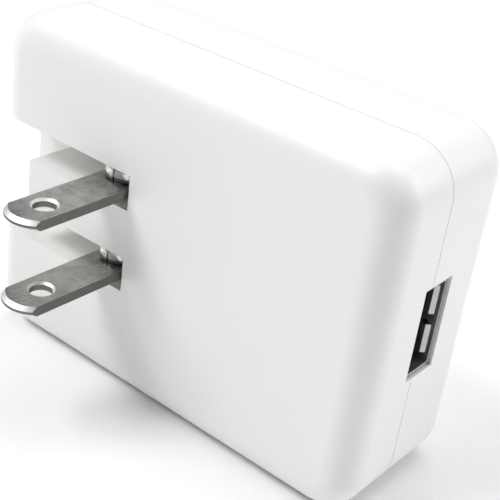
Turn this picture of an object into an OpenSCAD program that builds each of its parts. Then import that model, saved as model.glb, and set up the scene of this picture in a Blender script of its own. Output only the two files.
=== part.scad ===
// Two-prong wall charger with one USB-A port: a welded two-part case, a pair of folding flat
// blades on an insulating carrier, and the power supply that the case holds.
//
// Frame: X runs along the case towards the USB port, Y from the face that meets the wall
// outlet into the case, Z up. The origin lies on the outlet face, midway between the blades
// and on their centre line. The blades are drawn swung out, square to the outlet face.

/* [Case] */
// Length of the case, from the finger notch end to the USB end
case_w = 68.4; // [66:0.2:84]
// Height of the case across the two blades
case_h = 50.8; // [48:0.2:62]
// Thickness of the case, outlet face to back
case_d = 25.4; // [25:0.2:31]
// Depth of the front cover, outlet face to the parting line
front_d = 11; // [10.8:0.1:12]
// Moulded wall
wall = 1.8; // [1.5:0.1:2.2]
// Rounding of the edges round the outlet face and the back
edge_r = 4.5; // [3:0.1:5.4]
// Rounding of the four corners, seen from the outlet
corner_r = 6.4; // [5.8:0.1:8]
// Height of the tongue that centres the rear cover in the front one
lip_h = 1.4; // [0.8:0.1:1.4]
// Thickness of that tongue
lip_t = 0.7; // [0.5:0.05:0.8]

/* [Blades] */
// Width of a blade
blade_w = 6.35; // [5.3:0.05:7.6]
// Thickness of a blade
blade_t = 1.5; // [1.25:0.05:1.8]
// Distance between the middles of the two blades
blade_pitch = 12.7; // [12.2:0.1:13.4]
// Reach of a blade beyond the outlet face
blade_reach = 17.2; // [14.5:0.1:19]
// Radius of the rounded blade tip, seen flat
blade_tip_r = 4.4; // [4:0.1:9]
// Distance of the latching hole from the outlet face
hole_reach = 11.7; // [10:0.1:13]
// Radius of the latching hole
hole_r = 1.6; // [1.3:0.05:2]
// Distance from the notched end of the case to the fold axis
pivot_inset = 23.4; // [22.8:0.1:25]
// Radius of the metal hub on which each blade turns
hub_r = 3.1; // [2.6:0.05:3.2]
// Radius of the carrier's shaft inside the hubs
shaft_r = 1.7; // [1.4:0.05:1.9]
// Fold angle of the blades, out to flat in their slots
fold_deg = 90; // [80:1:90]

/* [Slots] */
// Depth of the slots and the finger notch
pocket_d = 8.2; // [7.9:0.1:8.6]
// Room above a blade's middle plane
slot_over = 2.85; // [2.6:0.05:3]
// Room below a blade's middle plane
slot_under = 2.35; // [2:0.05:2.6]
// Length of the finger notch from the case's end
notch_l = 7; // [5:0.1:8]
// Wall between the slots and the inside of the case
pocket_t = 1.2; // [1:0.1:1.4]

/* [USB port] */
// Height of the socket's middle above the blades' middle
usb_z = 0.7; // [-3:0.1:3]
// Width of the socket's shell
usb_w = 13.1; // [12.8:0.1:13.4]
// Thickness of the socket's shell
usb_t = 5.7; // [5.6:0.1:6]
// Length of the socket's shell
usb_l = 14.2; // [12:0.1:15]
// Sheet steel of the socket's shell
usb_sheet = 0.4; // [0.3:0.05:0.5]
// Gap between the shell and the case all round
usb_gap = 0.25; // [0.15:0.05:0.4]

/* [Circuit board] */
// Thickness of the board
board_t = 1.6; // [1:0.1:1.6]
// Gap between the board and the case
board_gap = 0.7; // [0.4:0.1:1]
// Diameter of the capacitor cans
can_dia = 8; // [6:0.1:9]
// Length of the capacitor cans
can_l = 11.4; // [9:0.1:11.6]
// Diameter of the line choke
choke_dia = 7; // [5:0.1:8]
// Diameter of the output inductor
coil_dia = 6.4; // [5:0.1:8]
// Gap between neighbouring parts on the board
part_gap = 0.8; // [0.5:0.1:1]
// Length of the transformer's ferrite core, across the blades
core_l = 13.5; // [12:0.1:14]
// Width of the transformer's ferrite core
core_w = 16; // [14:0.1:16]

/* [Clearances] */
// Gap round everything that turns
turn_gap = 0.1; // [0.05:0.01:0.15]
// Gap round everything that is pushed in and held
seat_gap = 0.1; // [0.05:0.01:0.15]

/* [Hidden] */
$fn = 48;

// Cuts run this far past the faces that they open
over = 1;

// The case, from its end at the notch to its end at the socket
left = -pivot_inset;
right = left + case_w;
mid_x = (left + right) / 2;
half_h = case_h / 2;
rear_d = case_d - front_d;

// The fold axis, set so that the hubs and the folded blades stay behind the outlet face
pivot_y = max(hub_r, blade_w / 2) + 0.15;
slot_end = max(hub_r, blade_w / 2) + 0.35;
slot_top = blade_pitch / 2 + slot_over;
slot_bottom = -blade_pitch / 2 - slot_under;
divider_top = blade_pitch / 2 - slot_under;
divider_bottom = -blade_pitch / 2 + slot_over;
divider_left = left + notch_l;
pocket_back = pocket_d + pocket_t;

// The hub stands on its blade and fills the slot up to a turning gap
hub_h = slot_over - blade_t / 2 - 2 * turn_gap;
barrel_r = shaft_r + 0.25;
bearing_t = 1.6;
opening_left = -slot_end - 0.4;
opening_right = slot_end;

// The retainer that traps the carrier from behind, and its two screws
retainer_t = 1.4;
retainer_y = pocket_back;
screw_r = 1;
screw_head_r = 1.9;
screw_head_t = 1.1;
screw_l = 5.5;
screw_x = 8;
screw_z = (divider_top + divider_bottom) / 2;
boss_r = 2.2;

// The leaf that clicks on the carrier's flats, and the strips from the hubs to the board
spring_t = 0.25;
spring_w = 3;
contact_t = 0.3;
contact_w = hub_h - 0.4;
contact_x = opening_right - 0.35 - contact_t;
function contact_low(z) = z + blade_t / 2 + (hub_h - contact_w) / 2;

// The board lies against the flat side of the socket, which is in the middle of the case's depth
board_y = case_d / 2 + usb_t / 2;
board_w = case_w - 2 * (wall + board_gap);
board_h = case_h - 2 * (wall + board_gap);
board_r = corner_r - wall;
post_r = 1.6;
post_x = board_w / 2 - board_r;
post_z = board_h / 2 - 2.2;

// The socket, its mouth just behind the case's end
usb_front = right - 0.4;
usb_y = case_d / 2;
usb_back = usb_front - usb_l;
tab_w = 5;
tab_gap = 0.9;
tab_slit = 0.35;
tab_root = 0.55;
tab_end = 9;
tongue_inset = 1.4;
tongue_t = 1.84;
tongue_w = 11.1;
tongue_l = 8.4;
tongue_y = usb_y - usb_t / 2 + usb_sheet + 0.72;

// The transformer stands midway between the blades' retainer and the socket
trafo_x = (screw_x + boss_r + usb_back) / 2;
core_t = 4.8;
core_leg = 4;
core_yoke = 3;
window_w = (core_w - core_leg) / 2 - core_leg / 2;
window_l = core_l - 2 * core_yoke;
winding_y = (core_leg + 2 * window_w) / 2 - 0.35;
trafo_y = board_y - winding_y - 1.1;
bobbin_t = 0.7;
flange_t = 0.8;
winding_t = window_w - seat_gap - bobbin_t - 0.6;

// Row of round parts above the blades' pocket and the transformer: diameters and middles
row_top = slot_top + bearing_t + 1.2 + can_dia / 2;
row = [can_dia, can_dia, choke_dia, coil_dia, can_dia, can_dia];
row_start = mid_x - post_x + post_r + part_gap;
function row_x(i) = i == 0 ? row_start + row[0] / 2
    : row_x(i - 1) + row[i - 1] / 2 + part_gap + row[i] / 2;

// Row of parts below the pocket and the transformer
row_bottom = slot_bottom - bearing_t - 1 - 4;

WHITE = [0.93, 0.93, 0.92];
NICKEL = [0.74, 0.73, 0.70];
STEEL = [0.66, 0.67, 0.68];
NYLON = [0.86, 0.85, 0.80];
BOARD = [0.78, 0.66, 0.40];
BLACK = [0.10, 0.10, 0.11];
FERRITE = [0.22, 0.22, 0.24];
AMBER = [0.90, 0.72, 0.22];
BLUE = [0.16, 0.36, 0.66];
COPPER = [0.78, 0.45, 0.22];
GOLD = [0.86, 0.70, 0.32];

// ---- Shared shapes ----

// A rectangle from the origin whose far lower corner is rounded
module rounded_foot(w, h, r) {
    difference() {
        square([w, h]);
        translate([w - r, 0]) difference() {
            translate([0, -over]) square([r + over, r + over]);
            translate([0, r]) circle(r);
        }
    }
}

// A rectangle centred on the origin with round corners
module rounded_rect(w, h, r) {
    square([w - 2 * r, h], center = true);
    square([w, h - 2 * r], center = true);
    for (x = [-1, 1], y = [-1, 1]) translate([x * (w / 2 - r), y * (h / 2 - r)]) circle(r);
}

// The wall of a cover, cut across: floor, rounded edge and side, measured from a corner's axis
module wall_section(depth) {
    difference() {
        rounded_foot(corner_r, depth, edge_r);
        translate([-over, wall]) rounded_foot(corner_r - wall + over, depth, edge_r - wall);
    }
}

// The same with the step that takes the other cover's tongue
module stepped_section(depth) {
    difference() {
        wall_section(depth);
        translate([0, depth - lip_h - seat_gap])
            square([corner_r - wall + lip_t + seat_gap, lip_h + seat_gap + over]);
    }
}

// The same with the tongue
module tongued_section(depth) {
    wall_section(depth);
    translate([corner_r - wall, depth - over]) square([lip_t, lip_h + over]);
}

// An open tray with the wall section given: the floor lies on z = 0, the sides rise round it
module tray() {
    cx = case_w / 2 - corner_r;
    cy = case_h / 2 - corner_r;
    for (a = [0, 90, 180, 270]) {
        x = (a == 0 || a == 270) ? cx : -cx;
        y = (a < 180) ? cy : -cy;
        translate([x, y, 0]) rotate([0, 0, a]) rotate_extrude(angle = 90) children();
    }
    for (side = [0, 1]) {
        mirror([side, 0, 0]) translate([cx, 0, 0]) rotate([90, 0, 0])
            linear_extrude(height = 2 * cy, center = true) children();
        mirror([0, side, 0]) translate([0, cy, 0]) rotate([90, 0, 90])
            linear_extrude(height = 2 * cx, center = true) children();
    }
    translate([-cx, -cy, 0]) cube([2 * cx, 2 * cy, wall]);
}

// Puts a shape drawn with z as depth on the outlet face, its depth running into the case
module from_front() {
    translate([mid_x, 0, 0]) rotate([-90, 0, 0]) children();
}

// The same from the back
module from_back() {
    translate([mid_x, case_d, 0]) rotate([90, 0, 0]) children();
}

// A box given by its low and high corners
module block(lo, hi) {
    translate(lo) cube(hi - lo);
}

// A round post along Y between two depths
module post(x, z, r, y0, y1) {
    translate([x, y0, z]) rotate([-90, 0, 0]) cylinder(r = r, h = y1 - y0);
}

// The round shaft space of the carrier with the way in from behind
module carrier_channel(r, z0, z1) {
    translate([0, pivot_y, z0]) cylinder(r = r, h = z1 - z0);
    block([-r, pivot_y, z0], [r, pocket_back + over, z1]);
}

// The opening for the socket, through the end wall
module usb_cut() {
    block([right - wall - over, usb_y - usb_t / 2 - usb_gap, usb_z - usb_w / 2 - usb_gap],
          [right + over, usb_y + usb_t / 2 + usb_gap, usb_z + usb_w / 2 + usb_gap]);
}

// Where the four board posts stand
module at_posts() {
    for (x = [-1, 1], z = [-1, 1]) translate([mid_x + x * post_x, 0, z * post_z]) children();
}

// ---- Case ----

module front_cover() color(WHITE) difference() {
    union() {
        from_front() tray() stepped_section(front_d);
        // Block in which the slots are sunk
        translate([left + wall / 2, wall / 2, slot_bottom - bearing_t])
            linear_extrude(height = slot_top - slot_bottom + 2 * bearing_t)
                translate([slot_end + pocket_t - left - wall / 2, 0]) mirror([1, 0])
                    rounded_foot(slot_end + pocket_t - left - wall / 2, pocket_back - wall / 2,
                                 edge_r - wall / 2);
        post(screw_x, screw_z, boss_r, wall / 2, retainer_y);
        at_posts() post(0, 0, post_r, wall / 2, board_y);
    }
    // Slots, open at the case's end
    for (z = [-1, 1] * blade_pitch / 2)
        block([left - over, -over, z - slot_under], [slot_end, pocket_d, z + slot_over]);
    // Finger notch across both slots
    block([left - over, -over, slot_bottom], [divider_left, pocket_d, slot_top]);
    // Way in from behind for the hubs
    for (z = [-1, 1] * blade_pitch / 2)
        block([opening_left, pivot_y, z - slot_under],
              [opening_right, pocket_back + over, z + slot_over]);
    // Bearings for the carrier: its ends and its barrel
    carrier_channel(shaft_r + turn_gap, slot_bottom - bearing_t - over, slot_top + bearing_t + over);
    carrier_channel(barrel_r + turn_gap, divider_bottom - over, divider_top + over);
    // Coring of the divider, and the screw holes
    block([divider_left + pocket_t, wall, divider_bottom + pocket_t],
          [-screw_x - boss_r, pocket_back + over, divider_top - pocket_t]);
    for (x = [-1, 1] * screw_x)
        post(x, screw_z, screw_r, retainer_y - screw_l, retainer_y + over);
    usb_cut();
}

module rear_cover() color(WHITE) difference() {
    union() {
        from_back() tray() tongued_section(rear_d);
        at_posts() post(0, 0, post_r, board_y + board_t, case_d - wall / 2);
    }
    usb_cut();
}

// ---- Blades ----

// Outline of a blade seen along the fold axis: a bar with a rounded tip and a round root
module blade_outline() {
    reach = blade_reach + pivot_y;
    intersection() {
        translate([-blade_w / 2, -reach]) square([blade_w, reach]);
        translate([0, blade_tip_r - reach]) circle(max(blade_tip_r, blade_w / 2 + 0.2));
    }
    translate([-blade_w / 2, blade_tip_r - reach]) square([blade_w, reach - blade_tip_r]);
    circle(blade_w / 2);
}

module blade(z) translate([0, pivot_y, z - blade_t / 2]) difference() {
    linear_extrude(height = blade_t) blade_outline();
    translate([0, -pivot_y - hole_reach, -over]) cylinder(r = hole_r, h = blade_t + 2 * over);
    translate([0, 0, -over]) cylinder(r = shaft_r, h = blade_t + 2 * over);
}

module upper_blade() color(NICKEL) blade(blade_pitch / 2);
module lower_blade() color(NICKEL) blade(-blade_pitch / 2);

// A hub is a split barrel, riveted to its blade and standing on it
module hub(z) translate([0, pivot_y, z + blade_t / 2]) difference() {
    cylinder(r = hub_r, h = hub_h);
    translate([0, 0, -over]) cylinder(r = shaft_r, h = hub_h + 2 * over);
    rotate([0, 0, -85]) block([0, -0.15, -over], [hub_r + over, 0.15, hub_h + over]);
}

module upper_hub() color(NICKEL) hub(blade_pitch / 2);
module lower_hub() color(NICKEL) hub(-blade_pitch / 2);

// The moulded carrier holds both blades and keeps them apart
module blade_carrier() color(NYLON) translate([0, pivot_y, 0]) difference() {
    union() {
        translate([0, 0, slot_bottom - bearing_t + seat_gap])
            cylinder(r = shaft_r, h = slot_top - slot_bottom + 2 * bearing_t - 2 * seat_gap);
        translate([0, 0, divider_bottom]) cylinder(r = barrel_r, h = divider_top - divider_bottom);
    }
    // Two flats that the detent spring finds, blades out and blades folded
    for (a = [0, fold_deg]) rotate([0, 0, a])
        block([-barrel_r, barrel_r - 0.35, screw_z - 1.7], [barrel_r, barrel_r + over, screw_z + 1.7]);
}

// The bridge behind the carrier closes its bearings
module carrier_retainer() color(WHITE) difference() {
    union() {
        block([-screw_x - boss_r, retainer_y, slot_bottom - bearing_t],
              [screw_x + boss_r, retainer_y + retainer_t, slot_top + bearing_t]);
        for (z = [[divider_bottom + seat_gap, screw_z - 2], [screw_z + 2, divider_top - seat_gap]])
            block([-barrel_r, pivot_y + 1, z[0]], [barrel_r, retainer_y, z[1]]);
        for (z = [slot_bottom - bearing_t, slot_top])
            block([-shaft_r, pivot_y + 0.8, z + seat_gap],
                  [shaft_r, retainer_y, z + bearing_t - seat_gap]);
    }
    translate([0, pivot_y, slot_bottom - bearing_t - over])
        cylinder(r = barrel_r + turn_gap, h = slot_top - slot_bottom + 2 * bearing_t + 2 * over);
    for (x = [-1, 1] * screw_x)
        post(x, screw_z, screw_r + 0.15, retainer_y - over, retainer_y + retainer_t + over);
    // Windows for the two contact springs
    for (z = [-1, 1] * blade_pitch / 2)
        block([contact_x - 0.5, retainer_y - over, contact_low(z) - 0.4],
              [contact_x + contact_t + 0.5, retainer_y + retainer_t + over,
               contact_low(z) + contact_w + 0.4]);
}

module retainer_screws() color(STEEL) for (x = [-1, 1] * screw_x) difference() {
    union() {
        post(x, screw_z, screw_r, retainer_y + retainer_t - screw_l, retainer_y + retainer_t);
        post(x, screw_z, screw_head_r, retainer_y + retainer_t, retainer_y + retainer_t + screw_head_t);
    }
    for (a = [0, 90]) translate([x, retainer_y + retainer_t + screw_head_t, screw_z]) rotate([0, a, 0])
        block([-1.2, -0.6, -0.2], [1.2, over, 0.2]);
}

// A leaf across the flats, its ends bent back to the retainer; it is drawn lifted off the flat
module detent_spring() color(STEEL) translate([0, pivot_y + barrel_r + turn_gap, screw_z - spring_w / 2])
    linear_extrude(height = spring_w) {
        back = retainer_y - pivot_y - barrel_r - turn_gap;
        translate([-barrel_r, 0]) square([2 * barrel_r, spring_t]);
        for (s = [-barrel_r, barrel_r - spring_t]) translate([s, 0]) square([spring_t, back]);
    }

// ---- Contacts from the hubs to the board ----

// A strip that stands on the board and leans on the hub
module contact(z) translate([0, 0, contact_low(z)]) linear_extrude(height = contact_w) {
    touch_y = pivot_y + hub_r + turn_gap;
    translate([contact_x, touch_y]) square([contact_t, board_y - touch_y]);
    translate([-1, touch_y]) square([contact_x + 1, contact_t]);
}

module line_contact() color(GOLD) contact(blade_pitch / 2);
module neutral_contact() color(GOLD) contact(-blade_pitch / 2);

// ---- Board and its parts ----

module circuit_board() color(BOARD)
    translate([mid_x, board_y, 0]) rotate([-90, 0, 0]) linear_extrude(height = board_t)
        rounded_rect(board_w, board_h, board_r);

// An upright can with a crimped neck, standing on the board
module can(x, z) {
    neck = 1.4;
    post(x, z, can_dia / 2, board_y - can_l, board_y - neck - 0.6);
    post(x, z, can_dia / 2 - 0.3, board_y - neck - 0.6, board_y - neck);
    post(x, z, can_dia / 2, board_y - neck, board_y);
}

// A part lying along X with a lead bent down at each end
module axial(x, z, r, l) {
    lead = 0.35;
    span = l / 2 + 1.2;
    y = board_y - r - 0.3;
    translate([x - l / 2, y, z]) rotate([0, 90, 0]) cylinder(r = r, h = l);
    translate([x - span, y, z]) rotate([0, 90, 0]) cylinder(r = lead, h = 2 * span);
    for (s = [-1, 1] * span) post(x + s, z, lead, y, board_y);
}

// A moulded package with its legs on the board
module chip(x, z, w, h, t, legs) {
    stand = 0.6;
    block([x - w / 2, board_y - t - stand, z - h / 2], [x + w / 2, board_y - stand, z + h / 2]);
    for (i = [0 : legs - 1], s = [-1, 1]) {
        px = x + (i - (legs - 1) / 2) * 2.54;
        block([px - 0.25, board_y - t / 2 - stand, z + s * (h / 2 + 0.3) - 0.3],
              [px + 0.25, board_y, z + s * (h / 2 + 0.3) + 0.3]);
    }
}

// A dipped disc standing on two leads
module disc(x, z, r, t) {
    y = board_y - r - 1;
    translate([x, y, z - t / 2]) cylinder(r = r, h = t);
    for (s = [-1, 1] * (r - 1.2)) post(x + s, z, 0.3, y, board_y);
}

module fusible_resistor() color([0.30, 0.55, 0.42]) axial(left + 10, blade_pitch / 2, 2, 9);
module bridge_rectifier() color(BLACK) chip(left + 11, -blade_pitch / 2 + 1, 8.4, 6.4, 2.6, 2);
module input_capacitor_1() color(BLACK) can(row_x(0), row_top);
module input_capacitor_2() color(BLACK) can(row_x(1), row_top);
module output_capacitor_1() color(BLACK) can(row_x(4), row_top);
module output_capacitor_2() color(BLACK) can(row_x(5), row_top);

// A drum core standing on the board: two flanges and the coil between them
module drum(x, z, dia, h) {
    flange = 1.5;
    for (y = [board_y - h, board_y - flange]) post(x, z, dia / 2, y, y + flange);
    post(x, z, dia / 2 - 0.6, board_y - h, board_y);
}
module line_choke() color([0.16, 0.16, 0.15]) drum(row_x(2), row_top, choke_dia, 8.5);
module output_inductor() color([0.16, 0.16, 0.15]) drum(row_x(3), row_top, coil_dia, 7.1);

module controller_chip() color(BLACK) chip(left + 15, row_bottom, 9.2, 6.4, 3.3, 3);
module switching_transistor() color(BLACK) {
    x = left + 24.5;
    difference() {
        post(x, row_bottom, 2.4, board_y - 6.2, board_y - 1.6);
        block([x - 3, board_y - 7, row_bottom + 1.2], [x + 3, board_y, row_bottom + 3]);
    }
    for (i = [-1, 0, 1] * 1.27) post(x + i, row_bottom, 0.25, board_y - 2, board_y);
}
module snubber_capacitor() color(BLUE) disc(left + 31.6, row_bottom, 3.2, 2.6);
module snubber_resistor() color([0.72, 0.62, 0.48]) axial(left + 29, row_bottom - 3.6, 1.2, 6.2);
module safety_capacitor() color(BLUE) disc(left + 40.8, row_bottom, 4, 3.4);
module optocoupler() color(BLACK) chip(left + 49, row_bottom, 4.6, 6.4, 3.4, 2);
module output_diode() color(BLACK) axial(right - 9, row_bottom + 5.6, 2.6, 8.6);
module sense_resistors() color([0.12, 0.12, 0.13])
    for (i = [0 : 3]) block([right - 14 + i * 2.6, board_y - 0.6, row_bottom - 2.2],
                            [right - 12.6 + i * 2.6, board_y, row_bottom + 0.2]);

// ---- Transformer ----

// One E of the core: three legs and a yoke, its leg ends on the plane z = 0
module core_half() difference() {
    block([-core_w / 2, -core_t / 2, 0], [core_w / 2, core_t / 2, core_l / 2]);
    for (s = [-1, 1]) {
        x = s * (core_leg / 2 + window_w / 2);
        block([x - window_w / 2, -core_t, -over], [x + window_w / 2, core_t, window_l / 2]);
    }
}

module at_trafo() translate([trafo_x, trafo_y, usb_z]) children();

module transformer_core_upper() color(FERRITE) at_trafo() core_half();
module transformer_core_lower() color(FERRITE) at_trafo() mirror([0, 0, 1]) core_half();

// Tube round the middle leg, two flanges in the window and two pin rails outside the yokes
module transformer_bobbin() color(BLACK) at_trafo() {
    inner_x = core_leg + 2 * seat_gap;
    inner_y = core_t + 2 * seat_gap;
    half = window_l / 2 - seat_gap;
    rail_y = board_y - trafo_y;
    difference() {
        union() {
            block([-inner_x / 2 - bobbin_t, -inner_y / 2 - bobbin_t, -half],
                  [inner_x / 2 + bobbin_t, inner_y / 2 + bobbin_t, half]);
            for (s = [-half, half - flange_t])
                block([-core_leg / 2 - window_w + seat_gap, -winding_y, s],
                      [core_leg / 2 + window_w - seat_gap, winding_y, s + flange_t]);
        }
        block([-inner_x / 2, -inner_y / 2, -half - over], [inner_x / 2, inner_y / 2, half + over]);
    }
    for (s = [-1, 1]) {
        z0 = s > 0 ? half - flange_t : -core_l / 2 - 2.6;
        z1 = s > 0 ? core_l / 2 + 2.6 : -half + flange_t;
        block([-core_leg / 2 - window_w + seat_gap, core_t / 2 + seat_gap, z0],
              [core_leg / 2 + window_w - seat_gap, core_t / 2 + 1.6, z1]);
        rail = s * (core_l / 2 + 1.4);
        block([-core_leg / 2 - window_w + seat_gap, core_t / 2 + seat_gap, rail - 1.2],
              [core_leg / 2 + window_w - seat_gap, rail_y - 0.5, rail + 1.2]);
    }
}

// The coils fill the space between the flanges; the yellow tape goes over them
module coil_ring(inner, outer) {
    half = window_l / 2 - seat_gap - flange_t;
    x0 = core_leg / 2 + seat_gap + bobbin_t;
    y0 = core_t / 2 + seat_gap + bobbin_t;
    translate([0, 0, -half]) linear_extrude(height = 2 * half) difference() {
        rounded_rect(2 * (x0 + outer), 2 * (y0 + outer), min(1.2, outer));
        if (inner == 0) square([2 * x0, 2 * y0], center = true);
        else rounded_rect(2 * (x0 + inner), 2 * (y0 + inner), min(1.2, inner));
    }
}
module transformer_winding() color(COPPER) at_trafo() coil_ring(0, winding_t);
module transformer_tape() color(AMBER) at_trafo() coil_ring(winding_t, winding_t + 0.3);
module transformer_pins() color(STEEL) at_trafo() for (s = [-1, 1], i = [-1.5, -0.5, 0.5, 1.5])
    post(i * 3, s * (core_l / 2 + 1.4), 0.32, board_y - trafo_y - 0.5, board_y - trafo_y);

// Insulating sheet glued behind the pocket, under the parts that carry mains
module insulation_sheet() color([0.92, 0.90, 0.78])
    block([left + wall + board_gap, pocket_back, slot_bottom],
          [-screw_x - boss_r - seat_gap, pocket_back + 0.2, slot_top]);

// ---- Socket ----

// Drawn with the mouth at x = 0 and the shell running back along -X
module at_usb() translate([usb_front, usb_y, usb_z]) children();

module usb_shell() color(STEEL) at_usb() difference() {
    block([-usb_l, -usb_t / 2, -usb_w / 2], [0, usb_t / 2, usb_w / 2]);
    block([-usb_l - over, -usb_t / 2 + usb_sheet, -usb_w / 2 + usb_sheet],
          [over, usb_t / 2 - usb_sheet, usb_w / 2 - usb_sheet]);
    // U-shaped slits that free two wide spring tabs in each broad side
    for (z = [-1, 1] * (tab_w + tab_gap) / 2, y = [-1, 1] * (usb_t - usb_sheet) / 2) difference() {
        block([-tab_end, y - usb_sheet, z - tab_w / 2], [-tab_root, y + usb_sheet, z + tab_w / 2]);
        block([-tab_end + tab_slit, y - over, z - tab_w / 2 + tab_slit],
              [over, y + over, z + tab_w / 2 - tab_slit]);
    }
}

module usb_tongue() color(BLACK) at_usb() {
    y0 = tongue_y - usb_y;
    block([-usb_l, -usb_t / 2 + usb_sheet, -usb_w / 2 + usb_sheet],
          [-tongue_inset - tongue_l, usb_t / 2 - usb_sheet, usb_w / 2 - usb_sheet]);
    block([-tongue_inset - tongue_l - over, y0, -tongue_w / 2],
          [-tongue_inset, y0 + tongue_t, tongue_w / 2]);
}

// Four contacts on the tongue, the outer two longer, for power
module usb_contacts() color(GOLD) at_usb() for (i = [0 : 3]) {
    z = [-3.5, -1, 1, 3.5][i];
    l = (i == 0 || i == 3) ? 7.4 : 6.4;
    y0 = tongue_y - usb_y + tongue_t;
    x0 = -tongue_inset - tongue_l;
    block([x0, y0, z - 0.5], [x0 + l, y0 + 0.2, z + 0.5]);
}

front_cover();
rear_cover();
upper_blade();
lower_blade();
upper_hub();
lower_hub();
blade_carrier();
carrier_retainer();
retainer_screws();
detent_spring();
line_contact();
neutral_contact();
circuit_board();
fusible_resistor();
line_choke();
bridge_rectifier();
input_capacitor_1();
input_capacitor_2();
controller_chip();
switching_transistor();
transformer_core_upper();
transformer_core_lower();
transformer_bobbin();
transformer_winding();
transformer_tape();
transformer_pins();
snubber_capacitor();
snubber_resistor();
safety_capacitor();
optocoupler();
output_diode();
output_inductor();
output_capacitor_1();
output_capacitor_2();
sense_resistors();
insulation_sheet();
usb_shell();
usb_tongue();
usb_contacts();
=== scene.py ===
import math
import bmesh
import bpy
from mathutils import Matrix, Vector


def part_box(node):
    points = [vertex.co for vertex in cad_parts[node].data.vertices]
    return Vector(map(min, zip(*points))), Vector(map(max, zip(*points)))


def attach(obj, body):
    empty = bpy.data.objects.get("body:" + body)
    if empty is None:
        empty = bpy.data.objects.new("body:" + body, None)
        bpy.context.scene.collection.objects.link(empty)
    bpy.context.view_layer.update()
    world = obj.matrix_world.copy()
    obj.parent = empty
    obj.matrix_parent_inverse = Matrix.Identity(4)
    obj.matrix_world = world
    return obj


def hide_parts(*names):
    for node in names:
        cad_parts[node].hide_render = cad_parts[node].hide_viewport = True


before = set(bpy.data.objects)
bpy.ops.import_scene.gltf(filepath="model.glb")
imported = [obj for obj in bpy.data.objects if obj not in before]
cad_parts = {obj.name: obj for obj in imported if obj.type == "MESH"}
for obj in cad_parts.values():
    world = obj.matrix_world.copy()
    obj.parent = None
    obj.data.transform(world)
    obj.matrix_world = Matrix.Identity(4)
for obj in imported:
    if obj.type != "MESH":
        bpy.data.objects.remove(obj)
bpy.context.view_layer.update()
bpy.ops.object.select_all(action="DESELECT")


# ---- Front cover ----
# The outlet half of the case: injection-moulded PC/ABS, 1.8 mm thick, satin white. Its floor is sunk round the
# two blades, and the sink's back carries the bearings of the fold. It is welded to the rear cover.
MM = 0.001
case_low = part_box("front_cover")[0]
case_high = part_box("rear_cover")[1]
case_middle = (case_low + case_high) / 2
part_line = 11.0 * MM
wall = 1.8 * MM
corner_r = 6.4 * MM
edge_r = 4.5 * MM
seam_gap = 0.06 * MM
slot_end = 3.525 * MM
pocket_floor = 8.2 * MM
notch_end = -16.4 * MM
blade_z = (6.35 * MM, -6.35 * MM)
slot_over, slot_under = 2.85 * MM, 2.35 * MM
pocket_wall, bearing_wall = 1.2 * MM, 1.6 * MM
pocket_back = pocket_floor + pocket_wall
pocket_low, pocket_high = blade_z[1] - slot_under - bearing_wall, blade_z[0] + slot_over + bearing_wall
fold_y = 3.325 * MM
way_in_left = -3.925 * MM
bearing_r = 2.05 * MM
bearing_low, bearing_high = -11 * MM, 12 * MM
boss_x, boss_z, boss_r = 8 * MM, 0.25 * MM, 2.2 * MM
post_x, post_z, post_r = 27.1 * MM, 20.7 * MM, 1.6 * MM
board_front, board_back = 15.55 * MM, 17.15 * MM
rim_segments, corner_segments = 14, 20
mould_edge = 0.16 * MM
port_low = Vector((case_high.x - 3 * MM, 9.6 * MM, -6.1 * MM))
port_high = Vector((case_high.x + 1 * MM, 15.8 * MM, 7.5 * MM))


def box_piece(name, low, high):
    low, high = Vector(low), Vector(high)
    bpy.ops.mesh.primitive_cube_add(size=1, location=(low + high) / 2, scale=high - low)
    bpy.ops.object.transform_apply(location=True, rotation=True, scale=True)
    bpy.context.object.name = name
    return bpy.context.object


def rod_piece(name, start, end, radius, sides=48):
    start, end = Vector(start), Vector(end)
    turn = (end - start).to_track_quat("Z", "Y").to_euler()
    bpy.ops.mesh.primitive_cylinder_add(vertices=sides, radius=radius, depth=(end - start).length,
                                        location=(start + end) / 2, rotation=turn)
    bpy.ops.object.transform_apply(location=True, rotation=True, scale=True)
    bpy.context.object.name = name
    return bpy.context.object


def pick(piece, kind, wanted):
    """Edit mode on the piece, with only the faces, edges or verts selected for which wanted(item) holds."""
    bpy.context.view_layer.objects.active = piece
    if piece.mode != "EDIT":
        bpy.ops.object.mode_set(mode="EDIT")
    bpy.ops.mesh.select_mode(type={"faces": "FACE", "edges": "EDGE", "verts": "VERT"}[kind])
    bpy.ops.mesh.select_all(action="DESELECT")
    mesh = bmesh.from_edit_mesh(piece.data)
    for item in getattr(mesh, kind):
        if wanted(item):
            item.select_set(True)
    mesh.select_flush_mode()
    bmesh.update_edit_mesh(piece.data)


def leave_edit():
    bpy.ops.object.mode_set(mode="OBJECT")


def add_modifier(piece, kind, **settings):
    bpy.context.view_layer.objects.active = piece
    modifier = piece.modifiers.new(kind.lower(), kind)
    for key, value in settings.items():
        setattr(modifier, key, value)
    bpy.ops.object.modifier_apply(modifier=modifier.name)


def combine(piece, others, how):
    """Unites the piece with other solids, cuts them from it or keeps what they share, then drops them."""
    for other in others:
        add_modifier(piece, "BOOLEAN", object=other, operation=how, solver="EXACT")
        bpy.data.objects.remove(other)


def soften(piece, width, segments=2, angle=35):
    """Rounds each sharp edge a little, as a mould or a press leaves it, and shades the result smooth."""
    add_modifier(piece, "BEVEL", width=width, segments=segments, limit_method="ANGLE",
                 angle_limit=math.radians(angle), harden_normals=False, miter_outer="MITER_ARC")
    shade(piece)


def shade(piece, angle=30):
    bpy.ops.object.select_all(action="DESELECT")
    piece.select_set(True)
    bpy.context.view_layer.objects.active = piece
    bpy.ops.object.shade_smooth_by_angle(angle=math.radians(angle))
    add_modifier(piece, "WEIGHTED_NORMAL", weight=100, keep_sharp=True)
    bpy.ops.object.select_all(action="DESELECT")


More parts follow.
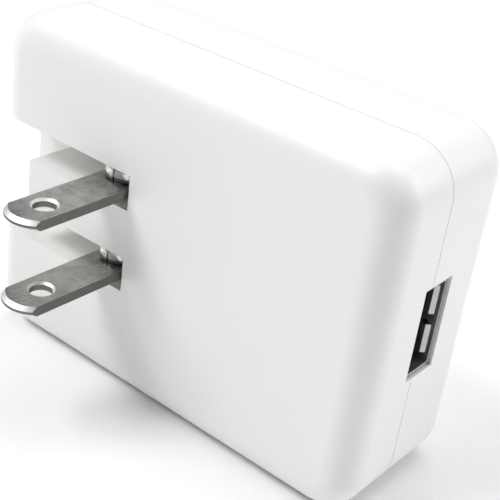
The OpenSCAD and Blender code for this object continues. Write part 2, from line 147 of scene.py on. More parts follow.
def case_half(name, face_y, seam_y):
    """Half of the case as an open tray: a block with round corners and a round rim, made hollow."""
    low, high = case_low.copy(), case_high.copy()
    low.y, high.y = min(face_y, seam_y), max(face_y, seam_y)
    tray = box_piece(name, low, high)
    pick(tray, "edges", lambda e: abs(e.verts[0].co.y - e.verts[1].co.y) > 1 * MM)
    bpy.ops.mesh.bevel(offset=corner_r, segments=corner_segments, affect="EDGES", profile=0.5)
    pick(tray, "edges", lambda e: all(abs(v.co.y - face_y) < 1e-6 for v in e.verts))
    bpy.ops.mesh.bevel(offset=edge_r, segments=rim_segments, affect="EDGES", profile=0.5)
    pick(tray, "faces", lambda f: abs(f.calc_center_median().y - seam_y) < 1e-6)
    bpy.ops.mesh.delete(type="FACE")
    leave_edit()
    add_modifier(tray, "SOLIDIFY", thickness=wall, offset=-1, use_even_offset=True)
    return tray


def board_posts(start_y, end_y):
    """The four posts at the corners of the board."""
    return [rod_piece("post", (case_middle.x + x, start_y, z), (case_middle.x + x, end_y, z), post_r)
            for x in (-post_x, post_x) for z in (-post_z, post_z)]


front = case_half("front_cover_moulding", 0, part_line - seam_gap)
pocket = box_piece("pocket", (case_low.x + wall / 2, wall / 2, pocket_low),
                   (slot_end + pocket_wall, pocket_back, pocket_high))
pick(pocket, "edges", lambda e: all(abs(v.co.x - case_low.x - wall / 2) < 1e-6 and abs(v.co.y - wall / 2) < 1e-6
                                    for v in e.verts))
bpy.ops.mesh.bevel(offset=edge_r - wall / 2, segments=rim_segments, affect="EDGES", profile=0.5)
leave_edit()
boss = rod_piece("boss", (boss_x, wall / 2, boss_z), (boss_x, pocket_back, boss_z), boss_r)
combine(front, [pocket, boss] + board_posts(wall / 2, board_front), "UNION")
cuts = [box_piece("port", port_low, port_high)]
for z in blade_z:
    cuts.append(box_piece("slot", (case_low.x - MM, -MM, z - slot_under), (slot_end, pocket_floor, z + slot_over)))
    cuts.append(box_piece("way_in", (way_in_left, fold_y, z - slot_under), (slot_end, part_line, z + slot_over)))
cuts.append(box_piece("notch", (case_low.x - MM, -MM, blade_z[1] - slot_under),
                      (notch_end, pocket_floor, blade_z[0] + slot_over)))
cuts.append(rod_piece("bearing", (0, fold_y, bearing_low), (0, fold_y, bearing_high), bearing_r))
cuts.append(box_piece("bearing_way", (-bearing_r, fold_y, bearing_low), (bearing_r, part_line, bearing_high)))
combine(front, cuts, "DIFFERENCE")
soften(front, mould_edge)


def node(tree, kind, inputs=None, **settings):
    """Adds a shader node; an input is a value, or another node's output to link."""
    made = tree.nodes.new(kind)
    for key, value in settings.items():
        setattr(made, key, value)
    for key, value in (inputs or {}).items():
        if isinstance(value, bpy.types.NodeSocket):
            tree.links.new(value, made.inputs[key])
        else:
            made.inputs[key].default_value = value
    return made


def paint(hex_code):
    """The linear colour of an sRGB hex value."""
    parts = [int(hex_code[i:i + 2], 16) / 255 for i in (1, 3, 5)]
    return tuple(c / 12.92 if c <= 0.04045 else ((c + 0.055) / 1.055) ** 2.4 for c in parts) + (1.0,)


def new_material(name):
    """An empty material: its tree, its shader and its coordinates in metres."""
    material = bpy.data.materials.new(name)
    material.use_nodes = True
    tree = material.node_tree
    shader = tree.nodes["Principled BSDF"]
    place = node(tree, "ShaderNodeTexCoord").outputs["Object"]
    return material, tree, shader, place


def put_on(piece, material, body):
    """Gives the piece its only material and the body that it moves with."""
    piece.data.materials.clear()
    piece.data.materials.append(material)
    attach(piece, body)


# PC/ABS from a finely eroded mould, wiped to a satin: a soft wide highlight, a faint grain under it, and a white
# that is a touch warmer where the flow was slower. The mould's grain of 0.15 mm is drawn at 0.5 mm.
white_abs, tree, shader, place = new_material("moulded_abs_white")
shade_noise = node(tree, "ShaderNodeTexNoise", {"Vector": place, "Scale": 45.0, "Detail": 3.0})
tone = node(tree, "ShaderNodeMixRGB", {"Fac": shade_noise.outputs["Fac"], "Color1": paint("#F3F3F2"),
                                       "Color2": paint("#EFEFED")})
grain = node(tree, "ShaderNodeTexNoise", {"Vector": place, "Scale": 2000.0, "Detail": 2.0})
gloss = node(tree, "ShaderNodeMapRange", {"Value": grain.outputs["Fac"], "To Min": 0.34, "To Max": 0.46})
relief = node(tree, "ShaderNodeBump", {"Height": grain.outputs["Fac"], "Strength": 0.08, "Distance": 0.00002})
tree.links.new(tone.outputs["Color"], shader.inputs["Base Color"])
tree.links.new(gloss.outputs["Result"], shader.inputs["Roughness"])
tree.links.new(relief.outputs["Normal"], shader.inputs["Normal"])
shader.inputs["IOR"].default_value = 1.5
shader.inputs["Subsurface Weight"].default_value = 0.06
shader.inputs["Subsurface Radius"].default_value = (0.0012, 0.0011, 0.0010)
shader.inputs["Subsurface Scale"].default_value = 1.0
put_on(front, white_abs, "case")
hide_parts("front_cover")


# ---- Rear cover ----
# The back half of the case, of the same moulding. The hairline between it and the front cover is the only seam.
# Four posts press the board onto those of the front.
rear = case_half("rear_cover_moulding", case_high.y, part_line + seam_gap)
combine(rear, board_posts(board_back, case_high.y - wall / 2), "UNION")
combine(rear, [box_piece("port", port_low, port_high)], "DIFFERENCE")
soften(rear, mould_edge)
put_on(rear, white_abs, "case")
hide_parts("rear_cover")


# ---- Blades ----
# Two flat brass blades, stamped 1.5 mm thick and nickel plated. The press leaves a slightly rolled edge, the tip
# is ground to a bevel that finds the outlet's slot, and the latching hole is countersunk on both sides.
blade_half, blade_t = 3.175 * MM, 1.5 * MM
tip_y, tip_r = -17.2 * MM, 4.4 * MM
hole_y, hole_r = -11.7 * MM, 1.6 * MM
bore_r = 1.7 * MM
tip_chamfer, hole_chamfer, rolled_edge = 0.55 * MM, 0.34 * MM, 0.16 * MM


def blade_piece(name, z):
    blade = rod_piece(name, (0, fold_y, z - blade_t / 2), (0, fold_y, z + blade_t / 2), blade_half, 64)
    pick(blade, "verts", lambda v: v.co.y < fold_y - 1e-6)
    bpy.ops.transform.translate(value=(0, -24 * MM, 0))
    leave_edit()
    tip = rod_piece("tip", (0, tip_y + tip_r, z - 3 * MM), (0, tip_y + tip_r, z + 3 * MM), tip_r, 96)
    pick(tip, "verts", lambda v: v.co.y > tip_y + tip_r + 1e-6)
    bpy.ops.transform.translate(value=(0, 30 * MM, 0))
    leave_edit()
    combine(blade, [tip], "INTERSECT")
    combine(blade, [rod_piece("hole", (0, hole_y, z - 2 * MM), (0, hole_y, z + 2 * MM), hole_r, 48),
                    rod_piece("bore", (0, fold_y, z - 2 * MM), (0, fold_y, z + 2 * MM), bore_r, 48)],
            "DIFFERENCE")
    pick(blade, "edges", lambda e: abs(e.verts[0].co.z - e.verts[1].co.z) < 1e-6
         and all(v.co.y < tip_y + 1.6 * MM and (v.co.xy - Vector((0, tip_y + tip_r))).length > tip_r - 1e-5
                 for v in e.verts))
    bpy.ops.mesh.bevel(offset=tip_chamfer, segments=1, affect="EDGES")
    pick(blade, "edges", lambda e: abs(e.verts[0].co.z - e.verts[1].co.z) < 1e-6
         and all(abs((v.co.xy - Vector((0, hole_y))).length - hole_r) < 2e-5 for v in e.verts))
    bpy.ops.mesh.bevel(offset=hole_chamfer, segments=1, affect="EDGES")
    leave_edit()
    soften(blade, rolled_edge, angle=50)
    return blade


# Nickel plate on stamped brass, barrel finished: it mirrors its surroundings softly, with cloudy patches from the
# tumbling stones and fine scratches along the blade from the outlet's springs, 0.05 mm apart, drawn at 0.2 mm. The
# sheared sides are rougher, take less plate and stay darker; the ground chamfers are pale and half-matt.
nickel, tree, shader, place = new_material("nickel_plated_brass")
along = node(tree, "ShaderNodeMapping", {"Vector": place, "Scale": (1.0, 0.05, 1.0)})
scratch = node(tree, "ShaderNodeTexNoise", {"Vector": along.outputs["Vector"], "Scale": 6000.0, "Detail": 2.0})
cloud = node(tree, "ShaderNodeTexNoise", {"Vector": place, "Scale": 420.0, "Detail": 5.0, "Roughness": 0.65})
speck = node(tree, "ShaderNodeTexNoise", {"Vector": place, "Scale": 2600.0, "Detail": 2.0})
cloud_tone = node(tree, "ShaderNodeValToRGB", {"Fac": cloud.outputs["Fac"]})
cloud_tone.color_ramp.elements[0].position, cloud_tone.color_ramp.elements[0].color = 0.35, paint("#969694")
cloud_tone.color_ramp.elements[1].position, cloud_tone.color_ramp.elements[1].color = 0.65, paint("#B4B4B2")
rub = node(tree, "ShaderNodeMath", {0: cloud.outputs["Fac"], 1: scratch.outputs["Fac"]}, operation="MULTIPLY")
dull = node(tree, "ShaderNodeMapRange", {"Value": rub.outputs[0], "From Min": 0.12, "From Max": 0.4,
                                         "To Min": 0.2, "To Max": 0.42})
grit = node(tree, "ShaderNodeMath", {0: scratch.outputs["Fac"], 1: speck.outputs["Fac"]}, operation="ADD")
relief = node(tree, "ShaderNodeBump", {"Height": grit.outputs[0], "Strength": 0.25, "Distance": 0.00002})
facing = node(tree, "ShaderNodeSeparateXYZ", {0: tree.nodes["Texture Coordinate"].outputs["Normal"]})
flatness = node(tree, "ShaderNodeMath", {0: facing.outputs["Z"]}, operation="ABSOLUTE")
cut_tone = node(tree, "ShaderNodeValToRGB", {"Fac": flatness.outputs[0]})
cut_tone.color_ramp.elements[0].position, cut_tone.color_ramp.elements[0].color = 0.3, paint("#757472")
cut_tone.color_ramp.elements[1].position, cut_tone.color_ramp.elements[1].color = 0.55, paint("#EDEDEB")
plated = node(tree, "ShaderNodeMapRange", {"Value": flatness.outputs[0], "From Min": 0.85, "From Max": 0.97})
tone = node(tree, "ShaderNodeMixRGB", {"Fac": plated.outputs["Result"], "Color1": cut_tone.outputs["Color"],
                                       "Color2": cloud_tone.outputs["Color"]})
finish = node(tree, "ShaderNodeMix", {"Factor": plated.outputs["Result"], "A": 0.5, "B": dull.outputs["Result"]})
tree.links.new(tone.outputs["Color"], shader.inputs["Base Color"])
tree.links.new(finish.outputs["Result"], shader.inputs["Roughness"])
tree.links.new(relief.outputs["Normal"], shader.inputs["Normal"])
shader.inputs["Metallic"].default_value = 1.0

for name, z in zip(("upper_blade", "lower_blade"), blade_z):
    blade = blade_piece(name + "_stamping", z)
    put_on(blade, nickel, "blades")
    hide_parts(name)


# ---- Hubs ----
# Each blade turns on a short split barrel of the same plated brass, with a painted reflection of the blade as a
# dark band near its foot. It is riveted to the blade's root and stands on its upper side.
hub_r, hub_foot, hub_h = 3.1 * MM, 0.75 * MM, 1.9 * MM
slit_half, slit_turn = 0.14 * MM, 5
shoulder_r, foot_chamfer = 0.5 * MM, 0.2 * MM


def hub_piece(name, z):
    foot = z + hub_foot
    hub = rod_piece(name, (0, fold_y, foot), (0, fold_y, foot + hub_h), hub_r, 96)
    slit = box_piece("slit", (-slit_half, -hub_r - MM, foot - MM), (slit_half, -1.5 * MM, foot + hub_h + MM))
    slit.rotation_euler = (0, 0, math.radians(slit_turn))
    slit.location = (0, fold_y, 0)
    combine(hub, [rod_piece("bore", (0, fold_y, foot - MM), (0, fold_y, foot + hub_h + MM), bore_r, 48), slit],
            "DIFFERENCE")
    pick(hub, "edges", lambda e: all(abs(v.co.z - foot - hub_h) < 1e-6 and (v.co.xy - Vector((0, fold_y))).length
                                     > hub_r - 1e-5 for v in e.verts))
    bpy.ops.mesh.bevel(offset=shoulder_r, segments=5, affect="EDGES", profile=0.5)
    pick(hub, "edges", lambda e: all(abs(v.co.z - foot) < 1e-6 and (v.co.xy - Vector((0, fold_y))).length
                                     > hub_r - 1e-5 for v in e.verts))
    bpy.ops.mesh.bevel(offset=foot_chamfer, segments=1, affect="EDGES")
    leave_edit()
    soften(hub, 0.05 * MM, segments=1, angle=50)
    return hub


# The same plate, pale on the upper part; below it a dark band down to the foot is a painted reflection of the
# blade in the barrel. Faint turning rings, 0.2 mm apart.
nickel_with_painted_reflection, tree, shader, place = new_material("nickel_plate_painted_reflection")
rings = node(tree, "ShaderNodeTexWave", {"Vector": place, "Scale": 1600.0, "Distortion": 0.6, "Detail": 1.0},
             bands_direction="Z")
smear = node(tree, "ShaderNodeTexNoise", {"Vector": place, "Scale": 900.0, "Detail": 3.0})
dull = node(tree, "ShaderNodeMapRange", {"Value": smear.outputs["Fac"], "To Min": 0.14, "To Max": 0.3})
relief = node(tree, "ShaderNodeBump", {"Height": rings.outputs["Fac"], "Strength": 0.06, "Distance": 0.00001})
tree.links.new(dull.outputs["Result"], shader.inputs["Roughness"])
tree.links.new(relief.outputs["Normal"], shader.inputs["Normal"])
# Painted reflection: a dark band with a wavering edge, up to about 1 mm above the barrel's foot, stands for the
# blade mirrored in it.
height = node(tree, "ShaderNodeSeparateXYZ", {0: place})
lifted = node(tree, "ShaderNodeMath", {0: height.outputs["Z"], 1: blade_z[0]}, operation="ADD")
above_blade = node(tree, "ShaderNodeMath", {0: lifted.outputs[0], 1: blade_z[0] - blade_z[1]}, operation="MODULO")
waver = node(tree, "ShaderNodeMath", {0: smear.outputs["Fac"], 1: 0.4 * MM, 2: above_blade.outputs[0]},
             operation="MULTIPLY_ADD")
painted_reflection_band = node(tree, "ShaderNodeMapRange", {"Value": waver.outputs[0], "From Min": hub_foot + 0.75 * MM,
                                           "From Max": hub_foot + 1.05 * MM})
tone = node(tree, "ShaderNodeMixRGB", {"Fac": painted_reflection_band.outputs["Result"], "Color1": paint("#7A7978"),
                                       "Color2": paint("#F0EFED")})
tree.links.new(tone.outputs["Color"], shader.inputs["Base Color"])
shader.inputs["Metallic"].default_value = 0.6

for name, z in zip(("upper_hub", "lower_hub"), blade_z):
    hub = hub_piece(name + "_barrel", z)
    put_on(hub, nickel_with_painted_reflection, "blades")
    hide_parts(name)


# ---- Blade carrier and the bridge that closes it ----
# A moulded shaft of glass-filled nylon carries both live blades and keeps them 12.7 mm apart. Two flats on its
# barrel are what the detent leaf finds; the bridge of the same nylon traps it in the front cover's bearings.
# Natural nylon: an ivory, half-matt surface, slightly translucent, with short glass fibres that fleck it.
nylon, tree, shader, place = new_material("glass_filled_nylon")
stretch = node(tree, "ShaderNodeMapping", {"Vector": place, "Scale": (1.0, 1.0, 0.2)})
fibre = node(tree, "ShaderNodeTexNoise", {"Vector": stretch.outputs["Vector"], "Scale": 5000.0, "Detail": 2.0})
tone = node(tree, "ShaderNodeMixRGB", {"Fac": fibre.outputs["Fac"], "Color1": paint("#D8D3C2"),
                                       "Color2": paint("#EAE6D9")})
relief = node(tree, "ShaderNodeBump", {"Height": fibre.outputs["Fac"], "Strength": 0.2, "Distance": 0.00002})
tree.links.new(tone.outputs["Color"], shader.inputs["Base Color"])
tree.links.new(relief.outputs["Normal"], shader.inputs["Normal"])
shader.inputs["Roughness"].default_value = 0.5
shader.inputs["IOR"].default_value = 1.53
shader.inputs["Subsurface Weight"].default_value = 0.15
shader.inputs["Subsurface Scale"].default_value = 0.0005


def refinish(name, material):
    """Puts a material on a CAD piece that keeps its own shape."""
    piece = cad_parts[name]
    piece.data.materials.clear()
    piece.data.materials.append(material)


refinish("blade_carrier", nylon)
refinish("carrier_retainer", nylon)


# ---- Screws, detent leaf and pins ----
# Two self-tapping cross-head screws of zinc-plated steel hold the bridge; the leaf of the same bright steel is
# blanked from 0.25 mm strip. The transformer's pins are tinned wire.
# Zinc on drawn or rolled steel: a cool grey mirror, brushed in lines 0.1 mm apart that are drawn at 0.25 mm.
bright_steel, tree, shader, place = new_material("zinc_plated_steel")
stretch = node(tree, "ShaderNodeMapping", {"Vector": place, "Scale": (1.0, 0.06, 1.0)})
brush = node(tree, "ShaderNodeTexNoise", {"Vector": stretch.outputs["Vector"], "Scale": 4000.0, "Detail": 2.0})
tone = node(tree, "ShaderNodeMixRGB", {"Fac": brush.outputs["Fac"], "Color1": paint("#A9ACAE"),
                                       "Color2": paint("#C9CBCC")})
dull = node(tree, "ShaderNodeMapRange", {"Value": brush.outputs["Fac"], "To Min": 0.22, "To Max": 0.4})
tree.links.new(tone.outputs["Color"], shader.inputs["Base Color"])
tree.links.new(dull.outputs["Result"], shader.inputs["Roughness"])
shader.inputs["Metallic"].default_value = 1.0
for name in ("retainer_screws", "detent_spring", "transformer_pins"):
    refinish(name, bright_steel)


# ---- Contact strips and socket contacts ----
# Phosphor bronze strip, blanked and bent: from each hub to the board, and four flashed with gold in the socket.
# Rolled bronze is a warm soft mirror with faint lines along the strip; gold flash evens its colour.
gold_flash, tree, shader, place = new_material("gold_flashed_bronze")
roll = node(tree, "ShaderNodeTexNoise", {"Vector": place, "Scale": 1500.0, "Detail": 3.0})
tone = node(tree, "ShaderNodeMixRGB", {"Fac": roll.outputs["Fac"], "Color1": paint("#C9A04A"),
                                       "Color2": paint("#E3BF6C")})
dull = node(tree, "ShaderNodeMapRange", {"Value": roll.outputs["Fac"], "To Min": 0.18, "To Max": 0.34})
tree.links.new(tone.outputs["Color"], shader.inputs["Base Color"])
tree.links.new(dull.outputs["Result"], shader.inputs["Roughness"])
shader.inputs["Metallic"].default_value = 1.0
for name in ("line_contact", "neutral_contact", "usb_contacts"):
    refinish(name, gold_flash)


# ---- Circuit board ----
# A phenolic paper board, 1.6 mm thick, cut by a router to follow the case. It carries every part of the supply
# on its front side and is clamped between the covers' posts.
# Phenolic paper: tan, half-matt, with the pressed paper's fibres as faint darker threads, up to 1 mm long.
phenolic, tree, shader, place = new_material("phenolic_paper")
thread = node(tree, "ShaderNodeTexNoise", {"Vector": place, "Scale": 900.0, "Detail": 6.0, "Roughness": 0.7})
blotch = node(tree, "ShaderNodeTexNoise", {"Vector": place, "Scale": 120.0, "Detail": 2.0})
mix = node(tree, "ShaderNodeMath", {0: thread.outputs["Fac"], 1: blotch.outputs["Fac"]}, operation="MULTIPLY")
tone = node(tree, "ShaderNodeValToRGB", {"Fac": mix.outputs[0]})
tone.color_ramp.elements[0].position, tone.color_ramp.elements[0].color = 0.15, paint("#A9824A")
tone.color_ramp.elements[1].position, tone.color_ramp.elements[1].color = 0.4, paint("#CDAE78")
relief = node(tree, "ShaderNodeBump", {"Height": thread.outputs["Fac"], "Strength": 0.2, "Distance": 0.00003})
tree.links.new(tone.outputs["Color"], shader.inputs["Base Color"])
tree.links.new(relief.outputs["Normal"], shader.inputs["Normal"])
shader.inputs["Roughness"].default_value = 0.45
refinish("circuit_board", phenolic)


# ---- Moulded and sleeved black parts ----
# Rectifier, controller, transistor, optocoupler, diode and the chip resistors are moulded in filled black epoxy;
# the transformer's bobbin is black phenolic; the capacitor cans wear a shrunk PVC sleeve.
# Filled epoxy: near black, quite matt, with the spark-eroded mould's pits, 0.08 mm, drawn at 0.2 mm.
black_epoxy, tree, shader, place = new_material("moulded_black_epoxy")
pits = node(tree, "ShaderNodeTexNoise", {"Vector": place, "Scale": 5000.0, "Detail": 3.0})
tone = node(tree, "ShaderNodeMixRGB", {"Fac": pits.outputs["Fac"], "Color1": paint("#161617"),
                                       "Color2": paint("#2A2A2C")})
relief = node(tree, "ShaderNodeBump", {"Height": pits.outputs["Fac"], "Strength": 0.3, "Distance": 0.00003})
tree.links.new(tone.outputs["Color"], shader.inputs["Base Color"])
tree.links.new(relief.outputs["Normal"], shader.inputs["Normal"])
shader.inputs["Roughness"].default_value = 0.62
for name in ("bridge_rectifier", "controller_chip", "switching_transistor", "optocoupler", "output_diode",
             "sense_resistors", "transformer_bobbin"):
    refinish(name, black_epoxy)

# Shrunk PVC: glossy near-black with a blue cast, drawn tight, so only broad ripples of 2 mm show.
pvc_sleeve, tree, shader, place = new_material("shrunk_pvc_sleeve")
ripple = node(tree, "ShaderNodeTexNoise", {"Vector": place, "Scale": 500.0, "Detail": 1.0})
tone = node(tree, "ShaderNodeMixRGB", {"Fac": ripple.outputs["Fac"], "Color1": paint("#14161C"),
                                       "Color2": paint("#22262F")})
relief = node(tree, "ShaderNodeBump", {"Height": ripple.outputs["Fac"], "Strength": 0.3, "Distance": 0.0001})
tree.links.new(tone.outputs["Color"], shader.inputs["Base Color"])
tree.links.new(relief.outputs["Normal"], shader.inputs["Normal"])
shader.inputs["Roughness"].default_value = 0.25
for name in ("input_capacitor_1", "input_capacitor_2", "output_capacitor_1", "output_capacitor_2"):
    refinish(name, pvc_sleeve)


# ---- Transformer and chokes ----
# Two E-shaped cores of sintered ferrite are clamped round the bobbin; its coil of enamelled copper is covered by
# yellow polyester tape. The choke and the inductor are drum cores of the same ferrite.
# Sintered ferrite: charcoal, chalky matt, with grinding marks and chips 0.3 mm wide.
ferrite, tree, shader, place = new_material("sintered_ferrite")
chips = node(tree, "ShaderNodeTexVoronoi", {"Vector": place, "Scale": 3000.0})
dust = node(tree, "ShaderNodeTexNoise", {"Vector": place, "Scale": 700.0, "Detail": 4.0})
tone = node(tree, "ShaderNodeMixRGB", {"Fac": dust.outputs["Fac"], "Color1": paint("#2B2C2E"),
                                       "Color2": paint("#4A4B4D")})
relief = node(tree, "ShaderNodeBump", {"Height": chips.outputs["Distance"], "Strength": 0.3, "Distance": 0.00004})
tree.links.new(tone.outputs["Color"], shader.inputs["Base Color"])
tree.links.new(relief.outputs["Normal"], shader.inputs["Normal"])
shader.inputs["Roughness"].default_value = 0.75
for name in ("transformer_core_upper", "transformer_core_lower", "line_choke", "output_inductor"):
    refinish(name, ferrite)

# Enamelled copper wire, 0.4 mm: glossy amber-red turns side by side, drawn 0.8 mm apart, with painted shade between
# them.
enamelled_wire, tree, shader, place = new_material("enamelled_copper_wire")
turns = node(tree, "ShaderNodeTexWave", {"Vector": place, "Scale": 400.0}, bands_direction="Z", wave_profile="SIN")
# The darker part of each wave is painted shade where the round turns meet.
tone = node(tree, "ShaderNodeMixRGB", {"Fac": turns.outputs["Fac"], "Color1": paint("#5A2A12"),
                                       "Color2": paint("#B8652E")})
relief = node(tree, "ShaderNodeBump", {"Height": turns.outputs["Fac"], "Strength": 0.8, "Distance": 0.0001})
tree.links.new(tone.outputs["Color"], shader.inputs["Base Color"])
tree.links.new(relief.outputs["Normal"], shader.inputs["Normal"])
shader.inputs["Roughness"].default_value = 0.28
refinish("transformer_winding", enamelled_wire)

# Polyester film tape: thin, glossy, lemon to amber where it laps over itself, wrinkled across in 1 mm waves.
film_tape, tree, shader, place = new_material("polyester_film_tape")
wrinkle = node(tree, "ShaderNodeTexNoise", {"Vector": place, "Scale": 900.0, "Detail": 2.0})
tone = node(tree, "ShaderNodeMixRGB", {"Fac": wrinkle.outputs["Fac"], "Color1": paint("#D9A92E"),
                                       "Color2": paint("#F0CB55")})
relief = node(tree, "ShaderNodeBump", {"Height": wrinkle.outputs["Fac"], "Strength": 0.4, "Distance": 0.00005})
tree.links.new(tone.outputs["Color"], shader.inputs["Base Color"])
tree.links.new(relief.outputs["Normal"], shader.inputs["Normal"])
shader.inputs["Roughness"].default_value = 0.22
refinish("transformer_tape", film_tape)


# ---- Resistors, disc capacitors and the insulating sheet ----
# The fusible and snubber resistors are lacquered ceramic rods, the two discs are dipped in blue epoxy, and a
# sheet of aramid paper is glued behind the pocket.
# Lacquer over a ceramic rod: semi-gloss grey-green with a fine orange peel, 0.3 mm across.
lacquer, tree, shader, place = new_material("lacquered_ceramic")
peel = node(tree, "ShaderNodeTexNoise", {"Vector": place, "Scale": 3300.0, "Detail": 1.0})
tone = node(tree, "ShaderNodeMixRGB", {"Fac": peel.outputs["Fac"], "Color1": paint("#5F7F6C"),
                                       "Color2": paint("#779884")})
relief = node(tree, "ShaderNodeBump", {"Height": peel.outputs["Fac"], "Strength": 0.2, "Distance": 0.00004})
tree.links.new(tone.outputs["Color"], shader.inputs["Base Color"])
tree.links.new(relief.outputs["Normal"], shader.inputs["Normal"])
shader.inputs["Roughness"].default_value = 0.35
for name in ("fusible_resistor", "snubber_resistor"):
    refinish(name, lacquer)

# Dipped epoxy: thick glossy blue that ran a little before it set, in soft waves 1.5 mm long.
dipped_blue, tree, shader, place = new_material("dipped_blue_epoxy")
runs = node(tree, "ShaderNodeTexNoise", {"Vector": place, "Scale": 650.0, "Detail": 1.0})
tone = node(tree, "ShaderNodeMixRGB", {"Fac": runs.outputs["Fac"], "Color1": paint("#1F4F9A"),
                                       "Color2": paint("#3A70BE")})
relief = node(tree, "ShaderNodeBump", {"Height": runs.outputs["Fac"], "Strength": 0.4, "Distance": 0.0002})
tree.links.new(tone.outputs["Color"], shader.inputs["Base Color"])
tree.links.new(relief.outputs["Normal"], shader.inputs["Normal"])
shader.inputs["Roughness"].default_value = 0.2
for name in ("snubber_capacitor", "safety_capacitor"):
    refinish(name, dipped_blue)

# Aramid paper: cream, matt, calendered, with a faint cloud of longer fibres.
aramid, tree, shader, place = new_material("aramid_paper")
fibre = node(tree, "ShaderNodeTexNoise", {"Vector": place, "Scale": 1200.0, "Detail": 7.0, "Roughness": 0.7})
tone = node(tree, "ShaderNodeMixRGB", {"Fac": fibre.outputs["Fac"], "Color1": paint("#D9D2B4"),
                                       "Color2": paint("#EFEBD6")})
tree.links.new(tone.outputs["Color"], shader.inputs["Base Color"])
shader.inputs["Roughness"].default_value = 0.8
refinish("insulation_sheet", aramid)


# ---- Socket ----
# A USB-A receptacle: a shell folded from 0.4 mm nickel-plated steel, with two wide leaves cut free in each broad
# side that bow inwards to grip the plug, round a black tongue. It stands on the board, its mouth in the end wall.
shell_low, shell_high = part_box("usb_shell")
sheet = 0.4 * MM
shell = box_piece("usb_shell_folded", shell_low, shell_high)
pick(shell, "edges", lambda e: abs(e.verts[0].co.x - e.verts[1].co.x) > 1 * MM)
bpy.ops.mesh.bevel(offset=0.7 * MM, segments=6, affect="EDGES", profile=0.5)
pick(shell, "faces", lambda f: abs(f.normal.x) > 0.9)
bpy.ops.mesh.delete(type="FACE")
leave_edit()
add_modifier(shell, "SOLIDIFY", thickness=sheet, offset=-1, use_even_offset=True)
leaf_w, leaf_gap, slit = 5.0 * MM, 0.9 * MM, 0.35 * MM
leaf_root, leaf_end = shell_high.x - 0.55 * MM, shell_high.x - 9.0 * MM
leaf_half, leaf_overlap = 0.13 * MM, 0.2 * MM
bow, bow_top, bow_run = 0.55 * MM, 1 * MM, 7.1 * MM
port_z = (shell_low.z + shell_high.z) / 2
leaves = []
for side_y, inward in ((shell_high.y - sheet / 2, -1), (shell_low.y + sheet / 2, 1)):
    for leaf_z in (port_z - (leaf_w + leaf_gap) / 2, port_z + (leaf_w + leaf_gap) / 2):
        window = box_piece("window", (leaf_end, side_y - sheet, leaf_z - leaf_w / 2),
                           (leaf_root, side_y + sheet, leaf_z + leaf_w / 2))
        combine(shell, [window], "DIFFERENCE")
        leaf = box_piece("leaf", (leaf_end + slit, side_y - leaf_half, leaf_z - leaf_w / 2 + slit),
                         (leaf_root + leaf_overlap, side_y + leaf_half, leaf_z + leaf_w / 2 - slit))
        pick(leaf, "edges", lambda e: abs(e.verts[0].co.x - e.verts[1].co.x) > 1 * MM)
        bpy.ops.mesh.subdivide(number_cuts=43)
        leave_edit()
        for vert in leaf.data.vertices:
            run = max(0, leaf_root - vert.co.x)
            rise = min(run, bow) if run < bow_top else bow * (1 - (run - bow_top) / bow_run)
            vert.co.y += inward * max(0, rise)
        leaves.append(leaf)
combine(shell, leaves, "UNION")
soften(shell, 0.07 * MM, angle=40)

# Nickel on folded steel sheet: a greyer, hazier mirror than the blades, with faint roll lines along the shell.
nickel_steel, tree, shader, place = new_material("nickel_plated_steel")
stretch = node(tree, "ShaderNodeMapping", {"Vector": place, "Scale": (0.05, 1.0, 1.0)})
roll = node(tree, "ShaderNodeTexNoise", {"Vector": stretch.outputs["Vector"], "Scale": 9000.0, "Detail": 1.0})
haze = node(tree, "ShaderNodeTexNoise", {"Vector": place, "Scale": 500.0, "Detail": 3.0})
tone = node(tree, "ShaderNodeMixRGB", {"Fac": haze.outputs["Fac"], "Color1": paint("#A3A3A2"),
                                       "Color2": paint("#C2C1BE")})
dull = node(tree, "ShaderNodeMapRange", {"Value": roll.outputs["Fac"], "To Min": 0.26, "To Max": 0.38})
relief = node(tree, "ShaderNodeBump", {"Height": roll.outputs["Fac"], "Strength": 0.04, "Distance": 0.00001})
tree.links.new(tone.outputs["Color"], shader.inputs["Base Color"])
tree.links.new(dull.outputs["Result"], shader.inputs["Roughness"])
tree.links.new(relief.outputs["Normal"], shader.inputs["Normal"])
shader.inputs["Metallic"].default_value = 0.95
put_on(shell, nickel_steel, "case")
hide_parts("usb_shell")

# The tongue and the block behind it are one moulding of black PBT, chamfered where the plug slides over it.
tongue_low, tongue_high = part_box("usb_tongue")
tongue_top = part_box("usb_contacts")[0].y
tongue_t, tongue_half = 1.84 * MM, 5.55 * MM
block_front, tongue_root = shell_high.x - 9.8 * MM, shell_high.x - 10.4 * MM
block = box_piece("usb_tongue_moulding", tongue_low, (block_front, tongue_high.y, tongue_high.z))
tongue = box_piece("tongue", (tongue_root, tongue_top - tongue_t, port_z - tongue_half),
                   (tongue_high.x, tongue_top, port_z + tongue_half))
pick(tongue, "edges", lambda e: all(v.co.x > tongue_high.x - 1e-5 for v in e.verts))
bpy.ops.mesh.bevel(offset=0.45 * MM, segments=3, affect="EDGES", profile=0.5)
leave_edit()
combine(block, [tongue], "UNION")
soften(block, 0.08 * MM, angle=40)
black_pbt, tree, shader, place = new_material("moulded_black_pbt")
pits = node(tree, "ShaderNodeTexNoise", {"Vector": place, "Scale": 4000.0, "Detail": 2.0})
tone = node(tree, "ShaderNodeMixRGB", {"Fac": pits.outputs["Fac"], "Color1": paint("#0C0C0D"),
                                       "Color2": paint("#1A1A1B")})
relief = node(tree, "ShaderNodeBump", {"Height": pits.outputs["Fac"], "Strength": 0.15, "Distance": 0.00002})
tree.links.new(tone.outputs["Color"], shader.inputs["Base Color"])
tree.links.new(relief.outputs["Normal"], shader.inputs["Normal"])
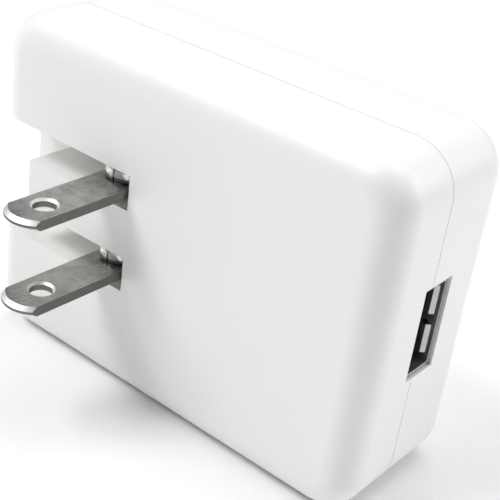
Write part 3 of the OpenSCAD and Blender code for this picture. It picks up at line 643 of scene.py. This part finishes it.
shader.inputs["Roughness"].default_value = 0.4
put_on(block, black_pbt, "case")
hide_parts("usb_tongue")


# ---- Floor, lights and camera ----
# The charger stands on its long side on a plain white sheet. The main soft box is high on the left in front, a weak
# one fills from the left, one lights the socket's end, and a large one hangs above.
bpy.ops.mesh.primitive_plane_add(size=6, location=(0, 0, case_low.z))
floor = bpy.context.object
floor.name = "floor"
paper, tree, shader, place = new_material("matt_white_paper")
shader.inputs["Base Color"].default_value = paint("#FCFCFC")
shader.inputs["Roughness"].default_value = 0.9
floor.data.materials.append(paper)

world = bpy.data.worlds.new("studio")
bpy.context.scene.world = world
world.use_nodes = True
world.node_tree.nodes["Background"].inputs["Color"].default_value = (1.0, 1.0, 1.0, 1.0)
world.node_tree.nodes["Background"].inputs["Strength"].default_value = 0.13


def soft_box(name, place, aim, size, watts):
    lamp = bpy.data.lights.new(name, "AREA")
    lamp.shape = "RECTANGLE"
    lamp.size, lamp.size_y = size
    lamp.energy = watts
    holder = bpy.data.objects.new(name, lamp)
    holder.location = place
    holder.rotation_euler = (Vector(aim) - Vector(place)).to_track_quat("-Z", "Y").to_euler()
    bpy.context.scene.collection.objects.link(holder)


soft_box("key_box", (-0.36, -0.40, 0.74), (0, 0, 0), (0.40, 0.40), 5.4)
soft_box("left_box", (-0.90, -0.40, 0.15), (0.01, 0.01, 0), (0.6, 0.6), 1.0)
soft_box("right_box", (0.66, 0.58, 0.38), (0.01, 0.01, 0), (0.5, 0.5), 3.8)
soft_box("top_box", (0.00, 0.25, 1.00), (0.01, 0.01, 0), (0.8, 0.8), 6.0)

camera = bpy.data.cameras.new("camera")
camera.sensor_width = 36
camera.lens = 81.9
camera.clip_start = 0.01
eye = bpy.data.objects.new("camera", camera)
eye.location = (0.0977, -0.1012, 0.07486)
eye.rotation_euler = [math.radians(a) for a in (61.379, -7.237, 39.697)]
bpy.context.scene.collection.objects.link(eye)
bpy.context.scene.camera = eye
bpy.context.scene.view_settings.view_transform = "Standard"
